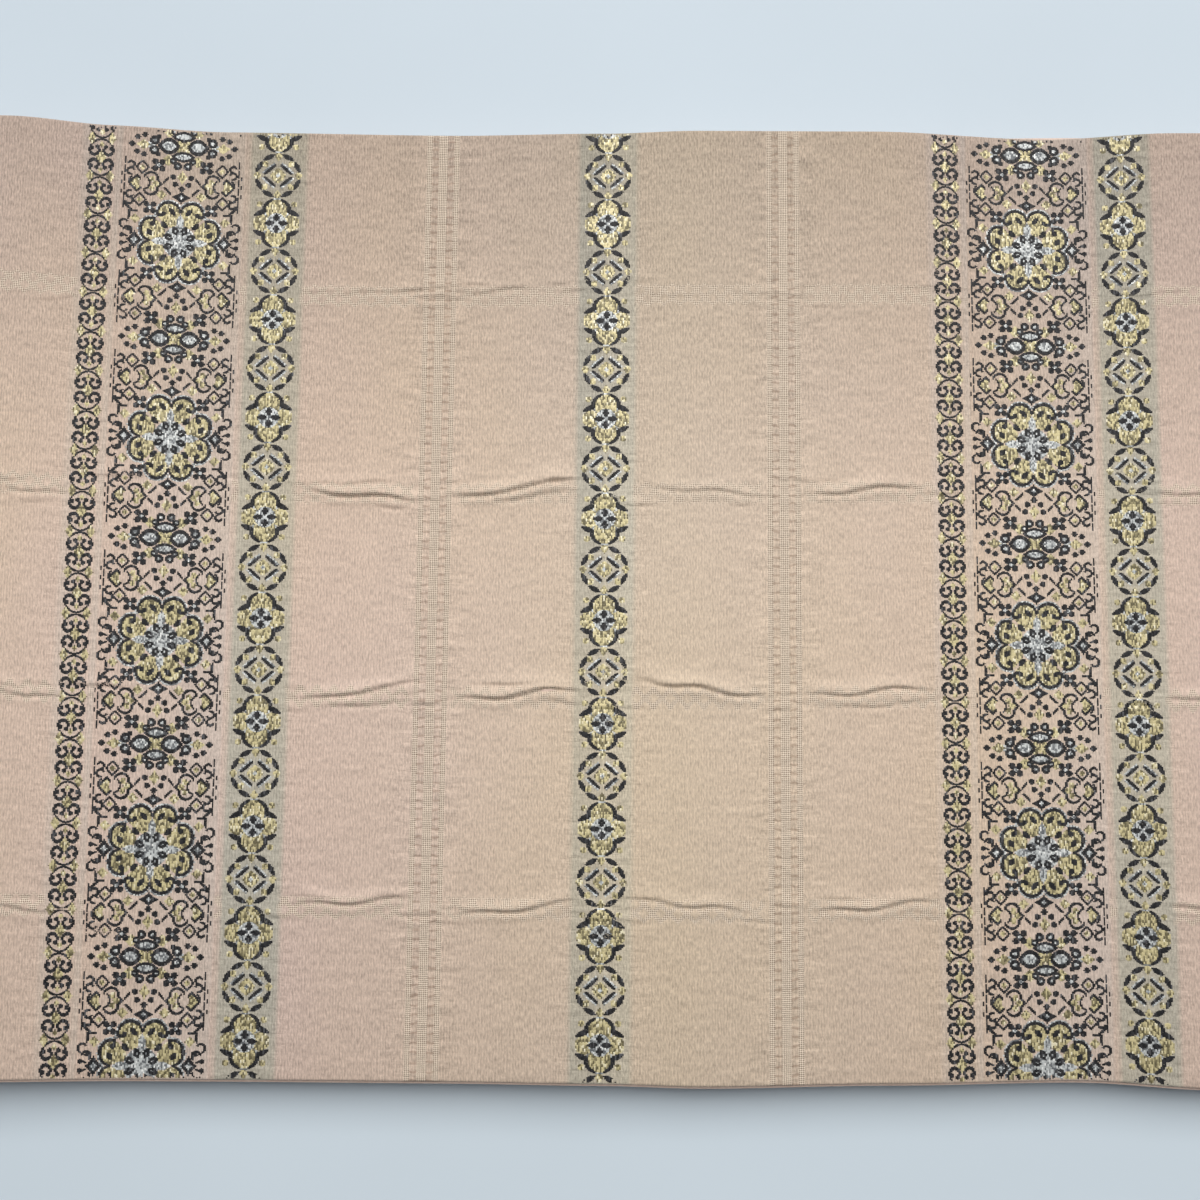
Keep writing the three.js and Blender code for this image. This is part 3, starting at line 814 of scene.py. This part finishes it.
    # Ribs: 0.65 mm apart in the cloth, drawn at 0.9 mm so that they show. Each rib wavers a little.
    waver = node(tree, "ShaderNodeTexNoise", {"Vector": place, "Scale": 0.35, "Detail": 2.0})
    waver = node(tree, "ShaderNodeMath", {0: waver.outputs[0], 1: 1.1, 2: lean}, operation="MULTIPLY_ADD")
    rib = node(tree, "ShaderNodeMath", {0: waver, 1: 2 * math.pi / 0.9}, operation="MULTIPLY")
    rib = node(tree, "ShaderNodeMath", {0: rib}, operation="SINE")
    stretched = node(tree, "ShaderNodeMapping", {0: place, 3: (1.6, 0.55, 1.0)})
    slub = node(tree, "ShaderNodeTexNoise", {
        "Vector": stretched, "Scale": 1.0, "Detail": 4.0, "Roughness": 0.65})
    ripple = node(tree, "ShaderNodeMapping", {0: place, 3: (0.11, 0.38, 1.0)})
    ripple = node(tree, "ShaderNodeTexNoise", {
        "Vector": ripple, "Scale": 1.0, "Detail": 3.0, "Roughness": 0.6})
    cloud = node(tree, "ShaderNodeMapping", {0: place, 3: (0.012, 0.005, 1.0)})
    cloud = node(tree, "ShaderNodeTexNoise", {"Vector": cloud, "Scale": 1.0, "Detail": 2.0})

    tone = node(tree, "ShaderNodeMapRange", {0: u_plain, 1: -260.0, 2: 300.0}, clamp=True)
    ground = node(tree, "ShaderNodeValToRGB", {0: tone})
    set_ramp(ground, [(0.0, GROUND_LEFT), (0.30, GROUND_LEFT), (0.5, GROUND_MIDDLE), (0.75, GROUND_RIGHT)])
    under_figures = node(tree, "ShaderNodeValToRGB", {0: share})
    under_figures.color_ramp.interpolation = "CONSTANT"
    changes = [(s.along - s.width / 2 - 3) % REPEAT / REPEAT for s in STRIPES]
    tones = [STRIPE_GROUND[s.kind] for s in STRIPES]
    set_ramp(under_figures, sorted(zip(changes, tones)))
    stripe = node(tree, "ShaderNodeMix", {0: brocaded, 6: ground, 7: under_figures}, data_type="RGBA")
    drift = node(tree, "ShaderNodeMapRange", {
        0: cloud.outputs[0], 1: 0.3, 2: 0.7, 3: 0.0, 4: 0.35}, clamp=True)
    drifted = node(tree, "ShaderNodeMix", {0: drift, 6: stripe, 7: colour(GROUND_GOLD)}, data_type="RGBA")
    slubbed = node(tree, "ShaderNodeMapRange", {
        0: slub.outputs[0], 1: 0.35, 2: 0.65, 3: -0.2, 4: 0.2}, clamp=True)
    # Painted shade of the small puckers: the ripple noise darkens and lightens the colour, more strongly
    # near the ladders.
    ripple_shade = node(tree, "ShaderNodeMapRange", {
        0: ripple.outputs[0], 1: 0.3, 2: 0.7, 3: -0.06, 4: 0.06}, clamp=True)
    ripple_shade_near_ladder = node(tree, "ShaderNodeMath", {0: by_ladder, 1: 1.6, 2: 1.0}, operation="MULTIPLY_ADD")
    ripple_shade = node(tree, "ShaderNodeMath", {0: ripple_shade, 1: ripple_shade_near_ladder}, operation="MULTIPLY")
    # Painted shade: the cloth is darker towards its far edge, and a little darker towards its near edge.
    edge = node(tree, "ShaderNodeMapRange", {0: v, 1: 30.0, 2: 155.0, 3: 0.0, 4: -0.29}, clamp=True)
    near_edge_shade = node(tree, "ShaderNodeMapRange", {0: v, 1: -40.0, 2: -155.0, 3: 0.0, 4: -0.12}, clamp=True)
    edge = node(tree, "ShaderNodeMath", {0: edge, 1: near_edge_shade}, operation="ADD")
    shade = node(tree, "ShaderNodeMath", {0: slubbed, 1: ripple_shade}, operation="ADD")
    shade = node(tree, "ShaderNodeMath", {0: shade, 1: edge}, operation="ADD")
    shade = node(tree, "ShaderNodeMath", {0: rib, 1: 0.05, 2: shade}, operation="MULTIPLY_ADD")
    shade = node(tree, "ShaderNodeMath", {0: shade, 1: 1.0}, operation="ADD")
    lit = node(tree, "ShaderNodeHueSaturation", {"Value": shade, "Color": drifted})
    shone = node(tree, "ShaderNodeMix", {0: shine, 6: lit, 7: colour(SELF_SHINE)}, data_type="RGBA")
    figured_tone = node(tree, "ShaderNodeMix", {
        0: shadow, 6: shone, 7: colour(SELF_FIGURE_SHADE)}, data_type="RGBA")

    height = node(tree, "ShaderNodeMath", {0: rib, 1: 0.30, 2: slub.outputs[0]}, operation="MULTIPLY_ADD")
    height = node(tree, "ShaderNodeMath", {0: figure, 1: 0.9, 2: height}, operation="MULTIPLY_ADD")
    by_stripe = node(tree, "ShaderNodeValToRGB", {0: share})
    set_ramp(by_stripe, stripe_stops(("ring", "scroll"), 0.5, 9.0))
    pulled = node(tree, "ShaderNodeMath", {0: by_ladder, 1: by_stripe}, operation="MAXIMUM")
    pulled = node(tree, "ShaderNodeMath", {0: pulled, 1: 3.2, 2: 0.9}, operation="MULTIPLY_ADD")
    height = node(tree, "ShaderNodeMath", {
        0: ripple.outputs[0], 1: pulled, 2: height}, operation="MULTIPLY_ADD")
    bump = node(tree, "ShaderNodeBump", {"Strength": 0.8, "Distance": 0.0002, "Height": height})
    rough = node(tree, "ShaderNodeMapRange", {0: slub.outputs[0], 3: 0.62, 4: 0.78})
    shader = node(tree, "ShaderNodeBsdfPrincipled", {
        "Base Color": figured_tone, "Roughness": rough, "Normal": bump, "IOR": 1.5,
        "Sheen Weight": 0.25, "Sheen Roughness": 0.45, "Sheen Tint": colour("#efe2d2")})
    node(tree, "ShaderNodeOutputMaterial", {0: shader})
    return material


# Plain silk of the back: reeled silk in a close plain weave. It gives an even, slightly shiny pale cloth.
def plain_silk_back():
    material, tree = new_material("plain_silk_back")
    uv = node(tree, "ShaderNodeUVMap", uv_map="weave")
    place = node(tree, "ShaderNodeVectorMath", {0: uv, 3: 1000.0}, operation="SCALE")
    slub = node(tree, "ShaderNodeTexNoise", {"Vector": place, "Scale": 0.8, "Detail": 5.0, "Roughness": 0.6})
    split = node(tree, "ShaderNodeSeparateXYZ", {0: place})
    threads = []
    for output in (split.outputs[0], split.outputs[1]):  # threads 0.35 mm apart, drawn at 0.8 mm
        turned = node(tree, "ShaderNodeMath", {0: output, 1: 2 * math.pi / 0.8}, operation="MULTIPLY")
        threads.append(node(tree, "ShaderNodeMath", {0: turned}, operation="SINE"))
    grain = node(tree, "ShaderNodeMath", {0: threads[0], 1: threads[1]}, operation="MULTIPLY")
    tone = node(tree, "ShaderNodeValToRGB", {0: slub.outputs[0]})
    set_ramp(tone, [(0.3, "#ccb2a4"), (0.7, "#dbc6ba")])
    height = node(tree, "ShaderNodeMath", {0: grain, 1: 0.3, 2: slub.outputs[0]}, operation="MULTIPLY_ADD")
    bump = node(tree, "ShaderNodeBump", {"Strength": 0.4, "Distance": 0.0001, "Height": height})
    rough = node(tree, "ShaderNodeMapRange", {0: slub.outputs[0], 3: 0.5, 4: 0.65})
    shader = node(tree, "ShaderNodeBsdfPrincipled", {
        "Base Color": tone, "Roughness": rough, "Normal": bump, "IOR": 1.5,
        "Sheen Weight": 0.25, "Sheen Roughness": 0.4, "Sheen Tint": colour("#efe0d6")})
    node(tree, "ShaderNodeOutputMaterial", {0: shader})
    return material


def thread_material(name, dark, light, glint, metal, roughness):
    """Each thread keeps its own tone and gloss, and a fine grain runs across it."""
    material, tree = new_material(name)
    uv = node(tree, "ShaderNodeUVMap", uv_map="thread")
    split = node(tree, "ShaderNodeSeparateXYZ", {0: uv})
    tone = node(tree, "ShaderNodeValToRGB", {0: split.outputs[0]})
    set_ramp(tone, [(0.2, dark), (0.7, light), (0.88, light), (1.0, glint)])
    place = node(tree, "ShaderNodeTexCoord")
    grain = node(tree, "ShaderNodeTexNoise", {
        "Vector": place.outputs["Object"], "Scale": 2600.0, "Detail": 2.0})
    bump = node(tree, "ShaderNodeBump", {"Strength": 0.35, "Distance": 0.00006, "Height": grain.outputs[0]})
    rough = node(tree, "ShaderNodeMapRange", {0: split.outputs[1], 3: roughness - 0.08, 4: roughness + 0.1})
    settings = {"Base Color": tone, "Roughness": rough, "Normal": bump}
    if metal:
        settings["Metallic"] = metal
    else:
        settings["IOR"] = 1.5
        settings["Specular IOR Level"] = 0.3
    shader = node(tree, "ShaderNodeBsdfPrincipled", settings)
    node(tree, "ShaderNodeOutputMaterial", {0: shader})
    return material


# A painted board under the sash: pale blue-grey, matt, with hardly visible mottling, and painted shade that
# makes it a little darker towards the far side.
def painted_board():
    material, tree = new_material("painted_board")
    place = node(tree, "ShaderNodeTexCoord")
    mottle = node(tree, "ShaderNodeTexNoise", {
        "Vector": place.outputs["Object"], "Scale": 9.0, "Detail": 6.0})
    split = node(tree, "ShaderNodeSeparateXYZ", {0: place.outputs["Object"]})
    # Painted shade: the board's colour darkens a little from the near side to the far side.
    depth = node(tree, "ShaderNodeMapRange", {0: split.outputs[1], 1: -0.25, 2: 0.2}, clamp=True)
    tone = node(tree, "ShaderNodeMix", {
        0: depth, 6: colour(FLOOR_NEAR), 7: colour(FLOOR_FAR)}, data_type="RGBA")
    soft = node(tree, "ShaderNodeMapRange", {
        0: mottle.outputs[0], 1: 0.3, 2: 0.7, 3: 0.985, 4: 1.015}, clamp=True)
    mottled = node(tree, "ShaderNodeHueSaturation", {"Value": soft, "Color": tone})
    bump = node(tree, "ShaderNodeBump", {"Strength": 0.1, "Distance": 0.0005, "Height": mottle.outputs[0]})
    shader = node(tree, "ShaderNodeBsdfPrincipled", {
        "Base Color": mottled, "Roughness": 0.75, "Normal": bump, "IOR": 1.45})
    node(tree, "ShaderNodeOutputMaterial", {0: shader})
    return material


GROUND_LEFT = "#cab4aa"
GROUND_MIDDLE = "#c8b7a6"
GROUND_RIGHT = "#c8b2a7"
GROUND_GOLD = "#cfba98"
STRIPE_GROUND = {"ring": "#aeaa9f", "scroll": "#c6b6ae", "medallion": "#c5b6ae", "ladder": "#bbb6a9"}
# Painted shade and painted highlight of the self-coloured figure.
SELF_FIGURE_SHADE = "#7d6250"
SELF_SHINE = "#e6d8c6"
FLOOR_NEAR = "#c8d5e0"
FLOOR_FAR = "#c3d0dc"

front_silk = woven_silk_front()
back_silk = plain_silk_back()
# Dyed spun silk: dull charcoal threads that glint only a little.
charcoal_silk = thread_material("dyed_charcoal_silk", "#121317", "#2b2b2e", "#55565a", 0.0, 0.62)
# Gilt paper foil wound on a silk core: pale straw gold that sparkles thread by thread.
gilt_foil = thread_material("gilt_foil_thread", "#625b42", "#c8bd92", "#e6e0c8", 0.2, 0.5)
# Silvered foil wound on a silk core: pale grey-white glints.
silver_foil = thread_material("silvered_foil_thread", "#606468", "#bfc3c4", "#e6e7e6", 0.2, 0.48)
board = painted_board()

# ---- The sash ----

rng = np.random.default_rng(8)

band_rows = [b + d for b in BANDS for d in np.arange(-6.6, 7.3, 0.44)]
plain_rows = [w for w in np.linspace(-154.2, 154.2, 104) if min(abs(w - b) for b in BANDS) > 8.0]
face_rows = sorted(band_rows + plain_rows)
back_rows = list(np.linspace(-150, 150, 13))

face = make_wall("brocade_front", FRONT.run, face_rows, back_rows, 0.0, -CLOTH, 0.0, [front_silk])
lining_path = front_path(step=8.0, rough=12.0)
lining = make_wall("plain_back", lining_path.run, list(np.linspace(-152, 152, 31)), back_rows,
                   -CLOTH - 0.18, -2 * CLOTH - 0.1, LINING_PEEK, [back_silk])
pile = make_pile("folded_thicknesses", [front_silk, back_silk])

thread_names = {GILT: "gilt_threads", SILVER: "silver_threads", CHARCOAL: "charcoal_threads"}
thread_looks = {GILT: gilt_foil, SILVER: silver_foil, CHARCOAL: charcoal_silk}
lowest, highest = FRONT.run.min() + TUCK, FRONT.run.max() - TUCK
found = []
for stripe in STRIPES:
    if stripe.kind == "ladder":
        continue
    thread, column, begin, end = floats(stripe.kind, stripe.width)
    for repeat in range(-4, 3):
        centre = MIDDLE + stripe.along + repeat * REPEAT
        run = centre + column + SKEW * (begin + end) / 2
        kept = (run > lowest) & (run < highest) & (begin > -WIDTH / 2 + 0.5) & (end < WIDTH / 2 - 0.5)
        found.append(np.stack([thread, run, begin, end])[:, kept])
found = np.concatenate(found, axis=1)
on_top = (found[1] > left_bend[0]) & (found[1] < upper_bend[0])
threads = []
for thread, name in thread_names.items():
    for part, wanted in (("top", on_top), ("under", ~on_top)):
        chosen = found[:, (found[0] == thread) & wanted]
        piece = make_threads(f"{name}_{part}", chosen[1], chosen[2], chosen[3], thread_looks[thread], rng)
        threads.append(piece)

for piece in [face, lining, pile, *threads]:
    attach(piece, "root")
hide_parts("front_cloth")
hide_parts("back_cloth")
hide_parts("folded_layers")

# ---- Surface, camera and light ----

floor_line = np.linspace(-FLOOR_HALF / MM, FLOOR_HALF / MM, 9)
floor_points = [(x, y, -0.05) for y in floor_line for x in floor_line]
floor = make_piece("surface", floor_points, [f[::-1] for f in loft(9, 9, closed=False)], [board])

scene = bpy.context.scene
scene.view_settings.view_transform = "Standard"
camera_data = bpy.data.cameras.new("camera")
camera_data.sensor_width = 36
camera_data.lens = LENS
camera = bpy.data.objects.new("camera", camera_data)
camera.location = Vector(CAMERA_AT) * MM
camera.rotation_euler = (math.radians(CAMERA_TILT), 0, math.radians(CAMERA_ROLL))
camera_data.clip_start = 0.01
scene.collection.objects.link(camera)
scene.camera = camera

world = bpy.data.worlds.new("studio")
world.use_nodes = True
sky = world.node_tree
sky.nodes.clear()
direction = node(sky, "ShaderNodeTexCoord")
parts = node(sky, "ShaderNodeSeparateXYZ", {0: direction.outputs["Generated"]})
glow = node(sky, "ShaderNodeMapRange", {0: parts.outputs[1], 1: -0.7, 2: 0.9, 3: 0.3 * FILL, 4: 1.9 * FILL})
skyline = node(sky, "ShaderNodeMapRange", {
    0: parts.outputs[2], 1: 0.04, 2: 0.3, 3: SKYLINE, 4: 0.0}, clamp=True)
glow = node(sky, "ShaderNodeMath", {0: glow, 1: skyline}, operation="ADD")
room = node(sky, "ShaderNodeBackground", {0: colour("#e4e9ef"), 1: glow})
node(sky, "ShaderNodeOutputWorld", {0: room})
scene.world = world


def add_light(name, size, power, tint, place, aim):
    light = bpy.data.lights.new(name, "AREA")
    light.shape = "RECTANGLE"
    light.size, light.size_y = size
    light.energy = power
    light.color = colour(tint)[:3]
    lamp = bpy.data.objects.new(name, light)
    lamp.location = place
    lamp.rotation_euler = (Vector(aim) - Vector(place)).to_track_quat("-Z", "Y").to_euler()
    scene.collection.objects.link(lamp)


add_light("window", (1.5, 2.4), KEY, "#fffcf7", (0.15, 1.6, 2.5), (0, 0, 0))
add_light("lamp", (0.5, 0.15), TOP, "#fbf6ef", (0.05, 0.02, 0.42), (0.05, 0.02, 0))
